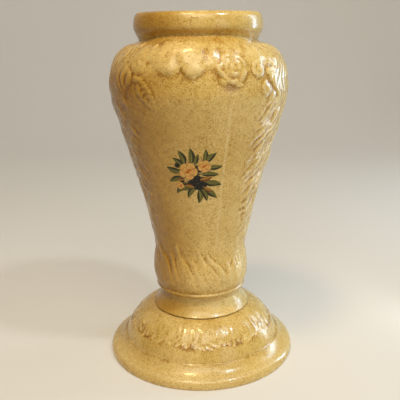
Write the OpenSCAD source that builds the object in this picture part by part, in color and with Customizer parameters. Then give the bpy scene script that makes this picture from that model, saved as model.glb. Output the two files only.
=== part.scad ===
// Pedestal vase: a hollow cast pedestal, a thin bedding ring in its crown,
// a hollow baluster vase that stands on the ring, and a printed transfer on the front.

/* [Pedestal] */
// Radius of the foot on the floor
foot_r = 112.5; // [106:0.5:122]
// Height of the upright edge of the foot
foot_edge_h = 2.5; // [1:0.5:4]
// Width of the sloping edge between the foot and the soft arris
foot_slope = 4; // [2:0.5:7]
// Height of that arris
arris_h = 10.5; // [7:0.5:13]
// Width of the flange from the arris to the crease below the dome
flange_run = 13; // [9:0.5:16]
// Height of that crease
crease_h = 21.5; // [17:0.5:26]
// Step in from the flange to the dome at the crease
crease_step = 2; // [1:0.5:3]
// Radius where the dome meets the flat crown
crown_r = 60; // [58:0.5:66]
// Height of the crown, which carries the vase
crown_h = 58.5; // [54:0.5:66]
// Wall of the pedestal casting
pedestal_wall = 7; // [5:0.5:8]
// Depth of the round socket in the crown
socket_depth = 9; // [7:0.5:10]

/* [Bedding ring] */
// Thickness of the bedding ring
bed_t = 1.2; // [0.8:0.1:2]
// Width of the bedding ring across its band
bed_band = 12.5; // [8:0.5:13]

/* [Vase stem] */
// Radius of the spigot that drops into the socket
spigot_r = 42; // [38:0.5:43]
// Length of the spigot below the vase's seat
spigot_h = 6.5; // [4:0.5:7]
// Running gap round the spigot
spigot_gap = 0.5; // [0.3:0.1:1]
// Radius of the sharp collar over the pedestal
collar_r = 57.8; // [56.5:0.1:58.5]
// Thickness of that collar at its edge
collar_t = 0.9; // [0.6:0.1:1.5]
// Radius at the narrowest place of the stem
stem_r = 48.8; // [46.5:0.1:50]
// Height of the narrowest place above the vase's seat
stem_h = 20.3; // [17:0.1:24]
// Radius to the nose of the bead over the stem
bead_r = 53.8; // [52.5:0.1:54.5]
// Thickness of the bead
bead_t = 3.2; // [2.4:0.2:4]
// Rise from the narrowest place to the middle of the bead
bead_rise = 5.6; // [4.5:0.1:7]

/* [Vase body] */
// Radius of the bulb above the bead
bulb_r = 55.8; // [54:0.1:58]
// Rise from the bead to the fullest place of the bulb
bulb_rise = 22.5; // [19:0.5:28]
// Radius of the waist
waist_r = 53.8; // [52:0.1:55.5]
// Rise from the bulb to the waist
waist_rise = 26; // [20:0.5:32]
// Radius of the shoulder
shoulder_r = 98.4; // [90:0.1:104]
// Rise from the waist to the shoulder
belly_rise = 185.9; // [160:0.1:210]
// Rise from the shoulder to that crease
shoulder_rise = 50.5; // [42:0.5:60]
// Wall of the vase casting
vase_wall = 6; // [4:0.5:7]
// Thickness of the floor inside the vase
floor_t = 8; // [6:0.5:9]

/* [Lip] */
// Radius of the mouth
mouth_r = 57; // [52:0.5:58.5]
// Thickness of the neck at the crease under the lip
neck_wall = 8.8; // [7:0.1:10]
// Thickness of the rolled lip at its fullest place
lip_roll = 14.2; // [11:0.1:16]
// Rise from the crease to the fullest place of the lip
lip_rise = 15.5; // [12:0.5:19]
// Rise from there to the top of the lip
lip_top_rise = 14; // [11:0.5:17]

/* [Relief] */
// Rise of the mantle over the shoulder
mantle_rise = 2.2; // [1.2:0.1:3]
// Drop of the mantle's hem below the crease under the lip, along the surface
mantle_drop = 40; // [34:1:46]
// How far the full lobes hang below the hem
lobe_drop = 9; // [5:0.5:12]
// Extra swell of the mantle behind its hem
lobe_rise = 1.4; // [0.4:0.1:2]
// Rise of the plumes on the flanks
plume_rise = 1.2; // [0.6:0.1:1.8]
// Height of the barbs and strands of the plumes
barb_rise = 1.7; // [0.8:0.1:2.2]
// How far the barbs fall from their spine towards the front
barb_fall = 40; // [20:1:50]
// Rise of the spine between two plumes
spine_rise = 1.5; // [0.6:0.1:2.4]
// Rise of the leaf blades round the bulb
blade_rise = 1.8; // [1:0.1:2.4]
// Height of the ring of blades, along the surface
blade_reach = 58; // [48:1:66]
// How far the longest blades stand above the shortest
blade_stagger = 15; // [8:1:20]
// Rise of the leaves on the dome
frond_rise = 1.5; // [0.8:0.1:2.2]
// Smooth band between the leaves and the crease
frond_band = 10; // [7:0.5:14]
// How far the longest leaf tips hang below the shortest
frond_stagger = 9; // [5:0.5:12]
// Radius of the rose on the shoulder
rose_r = 14; // [11:0.5:16]
// Rise of the rose
rose_rise = 3.6; // [2:0.1:4.4]
// Drop of the rose below the crease under the lip
rose_drop = 40.5; // [34:0.5:46]
// Radius of the small rosette
rosette_r = 10.5; // [8:0.5:12]
// Rise of the rosette
rosette_rise = 1.8; // [1:0.1:2.4]
// Drop of the rosette
rosette_drop = 35.5; // [30:0.5:44]
// Radius of the largest scroll
scroll_r = 7.5; // [5:0.5:9]
// Rise of the scrolls
scroll_rise = 2; // [1:0.1:2.6]
// Length of the spray of leaflets that hangs below the rosette
spray_len = 33; // [24:1:40]
// Drop of the spray's root
spray_drop = 50; // [46:1:56]

/* [Transfer] */
// Width of the printed transfer
print_w = 65; // [40:1:72]
// Height of the printed transfer
print_h = 74; // [44:1:80]
// Height of the middle of the print above the waist
print_rise = 99; // [90:1:110]
// Turn of the print away from the middle of the front
print_turn = -5; // [-12:1:12]
// Thickness of the transfer film
film_t = 0.3; // [0.2:0.1:0.5]
// Gap left between the film and the glaze
film_gap = 0.1; // [0.05:0.05:0.2]

/* [Hidden] */
$fn = 96;

// One overrun serves every cut
over = 1;
// Points on each curve of an outline
span_steps = 9;
belly_steps = 18;

// Heights, each stacked on the one below
seat_z = crown_h + bed_t;
socket_z = crown_h - socket_depth;
stem_z = seat_z + stem_h;
bead_z = stem_z + bead_rise;
bulb_z = bead_z + bulb_rise;
waist_z = bulb_z + waist_rise;
shoulder_z = waist_z + belly_rise;
throat_z = shoulder_z + shoulder_rise;
lip_z = throat_z + lip_rise;
top_z = lip_z + lip_top_rise;
print_z = waist_z + print_rise;

// Radii that follow from a fit or a wall
arris_r = foot_r - foot_slope;
crease_r = arris_r - flange_run;
throat_r = mouth_r + neck_wall;
lip_r = mouth_r + lip_roll;
socket_r = spigot_r + spigot_gap;
bed_r = socket_r + spigot_gap + bed_band;
spigot_wall = vase_wall;
foot_hollow_r = spigot_r - spigot_wall;
floor_z = bead_z + bead_t;
foot_hollow_z = floor_z - floor_t;

// How far each curve follows its headings, as a share of its chord
foot_pull_share = 0.4;
dome_pull_shares = [0.3, 0.38];
cove_pull_share = 0.35;
bulb_pull_share = 0.38;
belly_pull_shares = [0.32, 0.12];
shoulder_pull_shares = [0.72, 0.2];
lip_pull_share = 0.38;
hollow_top_share = 0.8;

// Headings along the outlines, in degrees from straight outwards
up = 90;
inwards = 180;
down = 270;
arris_heading = 152;
crease_heading = 122;
dome_heading = 108;
crown_heading = 163;
collar_heading = 142;
bead_heading = 20;
bulb_heading = 68;
belly_heading = 86;
throat_heading = 143;
neck_heading = 78;

// A cubic curve from one [radius, height, heading] to the next, without its last point
function step_along(a) = [cos(a), sin(a)];
function point_of(s) = [s[0], s[1]];
function curve(a, b, pulls, n) =
    let (
        p = point_of(a),
        q = point_of(b),
        reach = norm(q - p),
        c = p + pulls[0] * reach * step_along(a[2]),
        d = q - pulls[1] * reach * step_along(b[2])
    )
    [for (i = [0 : n - 1])
        let (t = i / n, s = 1 - t)
        s * s * s * p + 3 * s * s * t * c + 3 * s * t * t * d + t * t * t * q];
function even(share) = [share, share];

// Outside of the pedestal: its foot and flange, then its dome from the crease to the crown
function flange_outline() = concat(
    curve([foot_r, foot_edge_h, up], [arris_r, arris_h, arris_heading], even(foot_pull_share), span_steps),
    curve([arris_r, arris_h, arris_heading], [crease_r, crease_h, crease_heading],
        even(foot_pull_share), span_steps),
    [[crease_r, crease_h]]);
function dome_outline() = concat(
    curve([crease_r - crease_step, crease_h, dome_heading], [crown_r, crown_h, crown_heading],
        dome_pull_shares, belly_steps),
    [[crown_r, crown_h]]);

// Inside of the pedestal, a wall's thickness away
function pedestal_hollow() = concat(
    [[foot_r - pedestal_wall, -over], [foot_r - pedestal_wall, 0]],
    curve([foot_r - pedestal_wall, 0, arris_heading], [crease_r - pedestal_wall, crease_h - pedestal_wall / 2,
        crease_heading], even(foot_pull_share), span_steps),
    curve([crease_r - pedestal_wall, crease_h - pedestal_wall / 2, dome_heading],
        [socket_r + pedestal_wall, socket_z - pedestal_wall, inwards], dome_pull_shares, span_steps),
    [[socket_r + pedestal_wall, socket_z - pedestal_wall], [0, socket_z - pedestal_wall], [0, -over]]);

// Columns of relief over half a turn: a flank, the front panel and the other flank
side_columns = 8;
panel_columns = 26;
half_columns = panel_columns + 2 * side_columns;
dome_columns = 90;
blade_rows = 6;
belly_rows = 30;
mantle_rows = 8;
frond_rows = 5;

// Both halves of the mould carry the same relief, in degrees from the middle of the front
full_turn = 360;
half_turn = 180;
flank_turn = 90;
left_edge = -50;
right_edge = 46;
blade_sweep = 26;

// Width of the steps at the hem and at the leaf tips, and how the skin ends inside the plain parts
hem_step = 1.4;
seam_bite = 2.5;
seam_lift = 0.2;
seam_trim = 1.5;

// Lobes of the hem as [degrees, half width in degrees, share of the lobe's drop]
lobe_shares = [
    [-40, 7, 0.6], [-28, 6, 0.5], [-16.5, 6, 0.8], [-2.5, 8, 1],
    [8, 5, 0.45], [20.5, 9, 1.1], [35, 6, 0.6]];
// One blade and one leaf of the dome, each across three columns, as shares of their rise and their stagger
leaf_columns = 3;
blade_shares = [0.15, 0.75, 1];
blade_tip_shares = [-0.3, 0.35, 0.1];
frond_shares = [0.25, 1, 0.7];
frond_tip_shares = [-0.5, 0.5, -0.1];
// Slow changes in the length of the tips, and the columns that one of them takes
tall_share = 0.2;
tall_columns = 14;
frond_wave_share = 0.25;
frond_wave_columns = 22;
// Where each kind of relief grows and fades, as shares of its own height
blade_grow_share = 0.33;
blade_fade_share = 0.5;
plume_grow_share = 0.2;
barb_fade_share = 0.3;
strand_start_share = 0.7;
strand_grow_share = 0.2;
swell_floor_share = 0.4;
swell_end_share = 0.7;

// Distance along an outline for each of its points
function reaches(p) =
    [for (i = 0, s = 0; i < len(p); s = s + (i + 1 < len(p) ? norm(p[i + 1] - p[i]) : 0), i = i + 1) s];
function station_table(p) = let (s = reaches(p)) [for (i = [0 : len(p) - 1]) [s[i], p[i][0], p[i][1]]];
function radii(table) = [for (row = table) [row[0], row[1]]];
function heights(table) = [for (row = table) [row[0], row[2]]];

// Point over an outline at an angle from the front, a distance along it and a rise from it
function raised(side, turn, reach, rise) =
    let (
        r = lookup(reach, side[0]),
        z = lookup(reach, side[1]),
        dr = lookup(reach + over, side[0]) - lookup(reach - over, side[0]),
        dz = lookup(reach + over, side[1]) - lookup(reach - over, side[1]),
        out = r + rise * dz / norm([dr, dz])
    )
    [out * sin(turn), -out * cos(turn), z - rise * dr / norm([dr, dz])];

// A closed skin through one point, rings of equal count and another point
module skin(base, rings, tip) {
    n = len(rings[0]);
    last = len(rings) * n + 1;
    polyhedron(
        points = concat([base], [for (ring = rings) each ring], [tip]),
        faces = concat(
            [for (i = [0 : n - 1]) [0, 1 + i, 1 + (i + 1) % n]],
            [for (r = [0 : len(rings) - 2], i = [0 : n - 1])
                let (a = 1 + r * n + i, b = 1 + r * n + (i + 1) % n)
                each [[a, a + n, b + n], [a, b + n, b]]],
            [for (i = [0 : n - 1]) [last, last - n + (i + 1) % n, last - n + i]]));
}

// Relief of the vase
vase_table = station_table(relief_outline());
vase_side = [radii(vase_table), heights(vase_table)];
throat_reach = vase_table[len(vase_table) - 1][0];
waist_reach = vase_table[2 * span_steps][0];

function column_turn(i) =
    let (k = i % half_columns, other = k - side_columns - panel_columns)
    half_turn * floor(i / half_columns)
    + (k <= side_columns ? -flank_turn + (flank_turn + left_edge) * k / side_columns
        : other <= 0 ? left_edge + (right_edge - left_edge) * (k - side_columns) / panel_columns
        : right_edge + (flank_turn - right_edge) * other / side_columns);
function swept(i, reach) = column_turn(i) + blade_sweep * max(0, 1 - reach / waist_reach);
function front_turn(i) = column_turn(i % half_columns);
function spine_share(i) = max(0, 1 - min(i % half_columns, half_columns - i % half_columns) / side_columns);
function lobe_share(i) =
    max([for (l = lobe_shares)
        let (x = (front_turn(i) - l[0]) / l[1])
        abs(x) < 1 ? l[2] * sqrt(1 - x * x) : 0]);
function tip_reach(i) =
    let (
        taller = floor(i / leaf_columns) % 2 == 0 ? -1 : 1,
        wave = sin(i * full_turn / tall_columns)
    )
    blade_reach + blade_stagger * (blade_tip_shares[i % leaf_columns] + tall_share * (taller + wave));
function hem_reach(i) = throat_reach - mantle_drop - lobe_drop * lobe_share(i);
function ramp(x) = min(1, max(0, x));

function blade_ring(row) = [for (i = [0 : 2 * half_columns - 1])
    let (
        share = row / blade_rows,
        reach = max(seam_trim, tip_reach(i) * share),
        grown = ramp(share / blade_grow_share) * (1 - blade_fade_share * share * share),
        rise = seam_lift + blade_rise * blade_shares[i % leaf_columns] * grown
    )
    raised(vase_side, swept(i, reach), reach, rise)];

// Barbs follow the rows and strands follow the columns, where the plume reaches the shoulder
function belly_ring(row) = [for (i = [0 : 2 * half_columns - 1])
    let (
        share = row / belly_rows,
        spine = spine_share(i),
        low = tip_reach(i) + hem_step,
        lift = barb_fall * spine * ramp(min(share, 1 - share) / barb_fade_share),
        reach = low + (hem_reach(i) - low) * share + lift,
        strand = ramp((share - strand_start_share) / strand_grow_share),
        ridge = (1 - strand) * (row % 2) + strand * (i % 2),
        plume = spine > 0 ? plume_rise : 0,
        barb = spine > 0 ? barb_rise * ridge : spine_edge(i) * plume_rise * ridge,
        crest = spine == 1 ? spine_rise * (1 - ridge / 2) : 0,
        rise = ramp(share / plume_grow_share) * (plume + barb + crest)
    )
    raised(vase_side, swept(i, reach), reach, rise)];
function spine_edge(i) =
    let (k = i % half_columns) k == side_columns || k == side_columns + panel_columns ? 1 : 0;

function mantle_ring(row) = [for (i = [0 : 2 * half_columns - 1])
    let (
        share = row / mantle_rows,
        low = hem_reach(i) + hem_step,
        reach = low + (throat_reach - seam_trim - low) * share,
        flank = spine_share(i) > 0,
        bulge = sin(half_turn * ramp(share / swell_end_share)),
        swell = lobe_rise * (swell_floor_share + lobe_share(i)) * bulge,
        mantle = (mantle_rise + (i % 2) * seam_lift) * (1 - share * share) + swell,
        strands = (plume_rise + barb_rise * (i % 2)) * (1 - share * share)
    )
    raised(vase_side, column_turn(i), reach, seam_lift + (flank ? strands : mantle))];

// A ring of the skin's end, set inside the plain part that it runs into
function end_ring(r, z, n) =
    [for (i = [0 : n - 1]) let (a = full_turn * i / n) [r * sin(a), -r * cos(a), z]];

module vase_skin() {
    start = point_of([bead_r - bead_t / 3, bead_z + bead_t / 2]) - seam_bite * step_along(bulb_heading);
    finish = point_of([throat_r, throat_z]) + seam_bite * step_along(throat_heading);
    skin([0, 0, start[1]],
        concat(
            [[for (i = [0 : 2 * half_columns - 1])
                [start[0] * sin(swept(i, 0)), -start[0] * cos(swept(i, 0)), start[1]]]],
            [for (row = [0 : blade_rows]) blade_ring(row)],
            [for (row = [0 : belly_rows]) belly_ring(row)],
            [for (row = [0 : mantle_rows]) mantle_ring(row)],
            [[for (i = [0 : 2 * half_columns - 1])
                [finish[0] * sin(column_turn(i)), -finish[0] * cos(column_turn(i)), finish[1]]]]),
        [0, 0, finish[1]]);
}

// Relief of the dome, from the crease up to the crown
dome_table = station_table(dome_outline());
dome_side = [radii(dome_table), heights(dome_table)];
crown_reach = dome_table[len(dome_table) - 1][0];

function dome_turn(i) = full_turn * i / dome_columns;
function frond_tip(i) =
    let (wave = 1 + frond_wave_share * sin(i * full_turn / frond_wave_columns))
    frond_band + frond_stagger * (1 / 2 - frond_tip_shares[i % leaf_columns] * wave);
function frond_ring(row) = [for (i = [0 : dome_columns - 1])
    let (
        share = row / frond_rows,
        low = frond_tip(i),
        reach = low + (crown_reach - seam_lift - low) * share,
        rise = frond_rise * frond_shares[i % leaf_columns] * (1 - share * share)
    )
    raised(dome_side, dome_turn(i), reach, rise)];

module dome_skin() {
    start = point_of([crease_r - crease_step, crease_h]) - seam_bite * step_along(dome_heading);
    skin([0, 0, start[1]],
        concat(
            [end_ring(start[0], start[1], dome_columns)],
            [[for (i = [0 : dome_columns - 1]) raised(dome_side, dome_turn(i), seam_trim, 0)]],
            [[for (i = [0 : dome_columns - 1]) raised(dome_side, dome_turn(i), frond_tip(i) - hem_step, 0)]],
            [for (row = [0 : frond_rows]) frond_ring(row)],
            [end_ring(crown_r - seam_trim, crown_h - over, dome_columns)]),
        [0, 0, crown_h - over]);
}

// Ornament on the shoulder, wrapped onto its surface
petals = 5;
mound_rays = 4 * petals;
ornament_bite = 2;
rose_turn = 20.5;
rosette_turn = -41.5;
spray_turn = -38;
spray_heading = -52;
// Rings of a blossom as [radius share, rise share, twist in petals, depth of the notches]
rose_shares = [
    [1, 0.3, 0, 0.12], [0.9, 0.62, 0, 0.12], [0.72, 0.42, 0, 0.08],
    [0.68, 0.62, 0.5, 0.14], [0.56, 0.86, 0.5, 0.14], [0.44, 0.62, 0.5, 0.1],
    [0.38, 0.8, 0, 0.16], [0.26, 1, 0, 0.16], [0.14, 0.78, 0, 0]];
rosette_shares = [
    [1, 0.25, 0, 0.2], [0.84, 0.8, 0, 0.22], [0.36, 0.42, 0, 0.1], [0.26, 0.8, 0, 0]];
// Scrolls as [degrees, share of the mantle's drop, radius share, hand, start in degrees]
scroll_shares = [[39, 1.08, 1, 1, 200], [-22, 1.15, 0.72, -1, 40]];
scroll_turns = 1.15;
scroll_steps = 11;
// How far a scroll winds in and thins out, and the width of a ridge along its crest
scroll_wind_share = 0.72;
scroll_width_shares = [0.26, 0.18];
crest_share = 0.33;
// Leaflets of the spray: their places along its rib, their splay, their lengths and their widths
leaflet_place_shares = [0.1, 0.3, 0.5, 0.7];
leaflet_splay = 36;
leaflet_length_shares = [0.49, 0.43, 0.37, 0.31];
leaflet_width_shares = [0.06, 0.16];
leaflet_stop_shares = [0.05, 0.35, 0.65, 0.95];

function on_shoulder(turn, drop, p, rise) =
    let (reach = throat_reach - drop, r = lookup(reach, vase_side[0]))
    raised(vase_side, turn + p[0] / r * half_turn / PI, reach + p[1], rise);

module blossom(turn, drop, radius, rise, shares, ground) {
    function ring_of(s) = [for (j = [0 : mound_rays - 1])
        let (
            a = full_turn * j / mound_rays,
            notch = s[3] * (1 - cos(petals * a - full_turn * s[2])) / 2
        )
        on_shoulder(turn, drop, radius * s[0] * (1 - notch) * step_along(a), ground + rise * s[1])];
    foot_of = [for (j = [0 : mound_rays - 1])
        on_shoulder(turn, drop, radius * step_along(full_turn * j / mound_rays), -ornament_bite)];
    skin(on_shoulder(turn, drop, [0, 0], -ornament_bite),
        concat([foot_of], [for (s = shares) ring_of(s)]),
        on_shoulder(turn, drop, [0, 0], ground + rise * shares[len(shares) - 1][1]));
}

// A tapering ridge along a path of [place, half width, rise]
module ridge(turn, drop, path) {
    function side_step(i) =
        let (d = path[min(i + 1, len(path) - 1)][0] - path[max(i - 1, 0)][0]) [d[1], -d[0]] / norm(d);
    skin(on_shoulder(turn, drop, path[0][0], -ornament_bite),
        [for (i = [0 : len(path) - 1])
            let (p = path[i][0], w = path[i][1] * side_step(i), crest = crest_share * w, h = path[i][2])
            [on_shoulder(turn, drop, p - w, -ornament_bite), on_shoulder(turn, drop, p - crest, h),
                on_shoulder(turn, drop, p + crest, h), on_shoulder(turn, drop, p + w, -ornament_bite)]],
        on_shoulder(turn, drop, path[len(path) - 1][0], -ornament_bite));
}

// A value part of the way between the two in a pair
function part_way(pair, share) = pair[0] + (pair[1] - pair[0]) * share;

module scroll(place) {
    size = scroll_r * place[2];
    ridge(place[0], mantle_drop * place[1],
        [for (i = [0 : scroll_steps])
            let (share = i / scroll_steps, a = place[4] + place[3] * full_turn * scroll_turns * share)
            [size * (1 - scroll_wind_share * share) * step_along(a),
                size * part_way(scroll_width_shares, share),
                mantle_rise + scroll_rise * (1 + share) / 2]]);
}

module leaflet(root, heading, length) {
    ridge(spray_turn, spray_drop,
        [for (share = leaflet_stop_shares)
            let (fullness = sin(half_turn * share))
            [root + length * share * step_along(heading), length * part_way(leaflet_width_shares, fullness),
                seam_lift + barb_rise * part_way([1 / 2, 1], fullness)]]);
}

module spray() {
    leaflet([0, 0], spray_heading, spray_len);
    for (i = [0 : len(leaflet_place_shares) - 1], hand = [-1, 1])
        leaflet(spray_len * leaflet_place_shares[i] * step_along(spray_heading),
            spray_heading + hand * leaflet_splay, spray_len * leaflet_length_shares[i]);
}

module shoulder_ornament() {
    for (half = [0, half_turn])
        rotate([0, 0, half]) {
            blossom(rose_turn, rose_drop, rose_r, rose_rise, rose_shares, over);
            blossom(rosette_turn, rosette_drop, rosette_r, rosette_rise, rosette_shares,
                plume_rise + barb_rise / 2);
            for (place = scroll_shares) scroll(place);
            spray();
        }
}

module pedestal_base() {
    color("#d2ad66")
    difference() {
        union() {
            rotate_extrude()
            polygon(concat([[0, 0], [foot_r - foot_edge_h / 2, 0]], flange_outline(), [[0, crease_h]]));
            rotate_extrude()
            polygon([[0, 0], [crown_r - seam_bite, 0], [crown_r, crown_h], [0, crown_h]]);
            dome_skin();
        }
        rotate_extrude()
        polygon(pedestal_hollow());
        translate([0, 0, socket_z])
        cylinder(r = socket_r, h = socket_depth + over);
    }
}

module bedding_ring() {
    color("#5a4326")
    translate([0, 0, crown_h])
    difference() {
        cylinder(r = bed_r, h = bed_t);
        translate([0, 0, -over])
        cylinder(r = bed_r - bed_band, h = bed_t + 2 * over);
    }
}

// Outside of the vase from its seat to the bead
function stem_outline() = concat(
    [[collar_r, seat_z]],
    curve([collar_r, seat_z + collar_t, collar_heading], [stem_r, stem_z, up],
        even(cove_pull_share), span_steps),
    curve([stem_r, stem_z, up], [bead_r - bead_t / 2, bead_z - bead_t / 2, bead_heading],
        even(cove_pull_share), span_steps),
    [for (a = [-up : up / span_steps : up / 2])
        [bead_r - bead_t / 2 + bead_t / 2 * cos(a), bead_z + bead_t / 2 * sin(a)]],
    [[bead_r - bead_t / 2 - seam_bite, bead_z + bead_t / 2 + seam_bite]]);

// Outside of the vase where it carries relief, from the bead to the crease under the lip
function belly_outline() =
    curve([waist_r, waist_z, belly_heading], [shoulder_r, shoulder_z, up], belly_pull_shares, belly_steps);
function relief_outline() = concat(
    curve([bead_r - bead_t / 3, bead_z + bead_t / 2, bulb_heading], [bulb_r, bulb_z, up],
        even(bulb_pull_share), span_steps),
    curve([bulb_r, bulb_z, up], [waist_r, waist_z, up], even(bulb_pull_share), span_steps),
    belly_outline(),
    curve([shoulder_r, shoulder_z, up], [throat_r, throat_z, throat_heading],
        shoulder_pull_shares, belly_steps),
    [[throat_r, throat_z]]);

// Outside of the lip, from the crease over the top to the mouth
function lip_outline() = concat(
    [point_of([throat_r, throat_z]) - vase_wall * step_along(neck_heading)],
    curve([throat_r, throat_z, neck_heading], [lip_r, lip_z, up], even(lip_pull_share), span_steps),
    curve([lip_r, lip_z, up], [(lip_r + mouth_r) / 2, top_z, inwards], even(lip_pull_share), span_steps),
    curve([(lip_r + mouth_r) / 2, top_z, inwards], [mouth_r, lip_z, down], even(lip_pull_share), span_steps),
    [[mouth_r, lip_z]]);

// Inside of the vase, from the mouth down to the floor
function vase_hollow() = concat(
    [[0, top_z + over], [mouth_r, top_z + over], [mouth_r, lip_z]],
    curve([mouth_r, throat_z - vase_wall, down], [shoulder_r - vase_wall, shoulder_z, down],
        [vase_wall / shoulder_rise, hollow_top_share / 2], belly_steps),
    curve([shoulder_r - vase_wall, shoulder_z, down], [waist_r - vase_wall, waist_z, belly_heading - inwards],
        [belly_pull_shares[1], belly_pull_shares[0]], belly_steps),
    curve([waist_r - vase_wall, waist_z, down], [bulb_r - vase_wall - bead_t, floor_z + floor_t, down],
        even(bulb_pull_share), span_steps),
    curve([bulb_r - vase_wall - bead_t, floor_z + floor_t, down], [spigot_r - spigot_wall, floor_z, inwards],
        even(bulb_pull_share), span_steps),
    [[spigot_r - spigot_wall, floor_z], [0, floor_z]]);

module vase_body() {
    color("#dcb871")
    difference() {
        union() {
            rotate_extrude()
            polygon(concat([[0, seat_z]], stem_outline(), [[0, bead_z + bead_t / 2 + seam_bite]]));
            rotate_extrude()
            polygon(concat([[0, throat_z - vase_wall]], lip_outline(), [[0, lip_z]]));
            translate([0, 0, seat_z - spigot_h])
            cylinder(r = spigot_r, h = spigot_h + over);
            vase_skin();
            shoulder_ornament();
        }
        rotate_extrude()
        polygon(vase_hollow());
        translate([0, 0, seat_z - spigot_h - over])
        cylinder(r = foot_hollow_r, h = foot_hollow_z - seat_z + spigot_h + over);
    }
}

// A leaf with two equal arcs, from its stalk at the origin to its tip
module leaf_shape(length, width) {
    arc_r = (length * length + width * width) / (4 * width);
    translate([length / 2, 0])
    intersection() {
        translate([0, arc_r - width / 2])
        circle(r = arc_r);
        translate([0, width / 2 - arc_r])
        circle(r = arc_r);
    }
}

// Leaves of the posy as [across, up, turn, length], and its flowers as [across, up, radius],
// all but the turns as shares of the print's half size
leaf_shares = [
    [-0.26, 0.30, 118, 0.64], [-0.34, 0.18, 158, 0.62], [-0.36, -0.02, 200, 0.60],
    [-0.26, -0.16, 238, 0.60], [-0.06, 0.36, 88, 0.60], [0.34, 0.46, 78, 0.50],
    [0.44, 0.40, 38, 0.52], [0.46, 0.26, 4, 0.50], [0.36, -0.22, -12, 0.58],
    [0.32, -0.40, -48, 0.56], [0.18, -0.44, -84, 0.52]];
flower_shares = [[-0.18, 0.12, 0.38], [0.36, 0.34, 0.27], [0.24, -0.30, 0.28]];
leaf_width_share = 0.42;

module posy_shape() {
    half_w = print_w / 2;
    half_h = print_h / 2;
    for (leaf = leaf_shares)
        translate([leaf[0] * half_w, leaf[1] * half_h])
        rotate(leaf[2])
        leaf_shape(leaf[3] * half_w, leaf_width_share * leaf[3] * half_w);
    for (flower = flower_shares)
        translate([flower[0] * half_w, flower[1] * half_h])
        circle(r = flower[2] * half_w);
}

// The film keeps to the belly's own outline, a gap outside the glaze
function film_outline() =
    let (run = belly_outline(), reach = film_gap + film_t)
    concat([for (p = run) p + [film_gap, 0]],
        [for (i = [len(run) - 1 : -1 : 0]) run[i] + [reach, 0]]);

module transfer_print() {
    color("#6d5a34")
    rotate([0, 0, print_turn])
    intersection() {
        rotate_extrude()
        polygon(film_outline());
        translate([0, 0, print_z])
        rotate([up, 0, 0])
        linear_extrude(height = shoulder_r + over)
        posy_shape();
    }
}

pedestal_base();
bedding_ring();
vase_body();
transfer_print();
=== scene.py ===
import math

import bpy
import numpy as np
from mathutils import Matrix, Vector


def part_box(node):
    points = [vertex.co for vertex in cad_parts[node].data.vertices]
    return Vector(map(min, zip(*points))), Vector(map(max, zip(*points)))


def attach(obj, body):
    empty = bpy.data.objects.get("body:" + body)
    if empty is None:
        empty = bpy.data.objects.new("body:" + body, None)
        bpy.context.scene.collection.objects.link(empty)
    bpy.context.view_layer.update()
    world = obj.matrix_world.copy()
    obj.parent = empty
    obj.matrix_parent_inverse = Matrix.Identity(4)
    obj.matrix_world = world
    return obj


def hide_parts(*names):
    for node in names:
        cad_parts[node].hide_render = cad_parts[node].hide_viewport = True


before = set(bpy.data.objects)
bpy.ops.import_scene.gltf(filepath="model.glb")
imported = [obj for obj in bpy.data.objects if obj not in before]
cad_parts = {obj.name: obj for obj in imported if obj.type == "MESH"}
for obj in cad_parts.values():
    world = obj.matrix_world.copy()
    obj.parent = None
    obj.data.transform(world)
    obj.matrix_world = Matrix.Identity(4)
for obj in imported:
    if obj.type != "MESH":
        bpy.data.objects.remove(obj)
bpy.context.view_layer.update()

# The part's sizes are in millimetres, as in the CAD source, and become metres in its meshes
MM = 0.001
# Headings of an outline in degrees, where 0 points away from the axis
UP, INWARDS, DOWN = 90, 180, 270
# Keeps divisions clear of zero
TINY = 1e-6

# Sizes that the CAD parts give
pedestal_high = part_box("pedestal_base")[1] / MM
bed_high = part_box("bedding_ring")[1] / MM
vase_low, vase_high = (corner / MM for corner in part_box("vase_body"))
FOOT_R, CROWN_H = pedestal_high.x, pedestal_high.z
SEAT_Z = bed_high.z
SPIGOT_Z, TOP_Z = vase_low.z, vase_high.z

# Pedestal
FOOT_EDGE_H = 2.5
ARRIS_R, ARRIS_H = FOOT_R - 4, 10.5
CREASE_R, CREASE_H, CREASE_STEP = FOOT_R - 17, 21.5, 2
CROWN_R = 60
PEDESTAL_WALL = 7
SOCKET_R, SOCKET_DEPTH = 42.5, 9

# Vase
COLLAR_R, COLLAR_T = 57.8, 0.9
STEM_R, STEM_Z = 48.8, SEAT_Z + 20.3
BEAD_R, BEAD_T, BEAD_Z = 53.8, 3.2, STEM_Z + 5.6
BULB_R, BULB_Z = 55.8, BEAD_Z + 22.5
WAIST_R, WAIST_Z = 53.8, BULB_Z + 26
LIP_R, LIP_Z = 71.2, TOP_Z - 14
THROAT_R, THROAT_Z = 65.8, LIP_Z - 15.5
CREASE_CLIMB = 6
SHOULDER_R, SHOULDER_Z = 98.4, THROAT_Z - 50.5
MOUTH_R = 57
SPIGOT_R = 42
VASE_WALL, FLOOR_T = 6, 8
FLOOR_Z = BEAD_Z + BEAD_T
# Width of the small bevels on both castings' plain edges
EDGE = 0.6


def linked(name, data):
    """A new object in the scene, for a mesh, a lamp or a lens."""
    thing = bpy.data.objects.new(name, data)
    bpy.context.scene.collection.objects.link(thing)
    return thing


def camera():
    """The photograph's view: a 54 mm lens, just below the lip's height, pitched down and rolled."""
    distance, height = 0.688, 0.3816
    pitch, roll = 15.85, -0.62
    lens = bpy.data.cameras.new("view")
    lens.lens = 54
    lens.sensor_width = 36
    eye = linked("view", lens)
    tilt = Matrix.Rotation(math.radians(90 - pitch), 4, "X")
    lean = Matrix.Rotation(math.radians(roll), 4, "Z")
    eye.matrix_world = Matrix.Translation((0, -distance, height)) @ tilt @ lean
    bpy.context.scene.camera = eye


# Outlines

def direction(heading):
    """A unit step at a heading in degrees."""
    return np.array([math.cos(math.radians(heading)), math.sin(math.radians(heading))])


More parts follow.
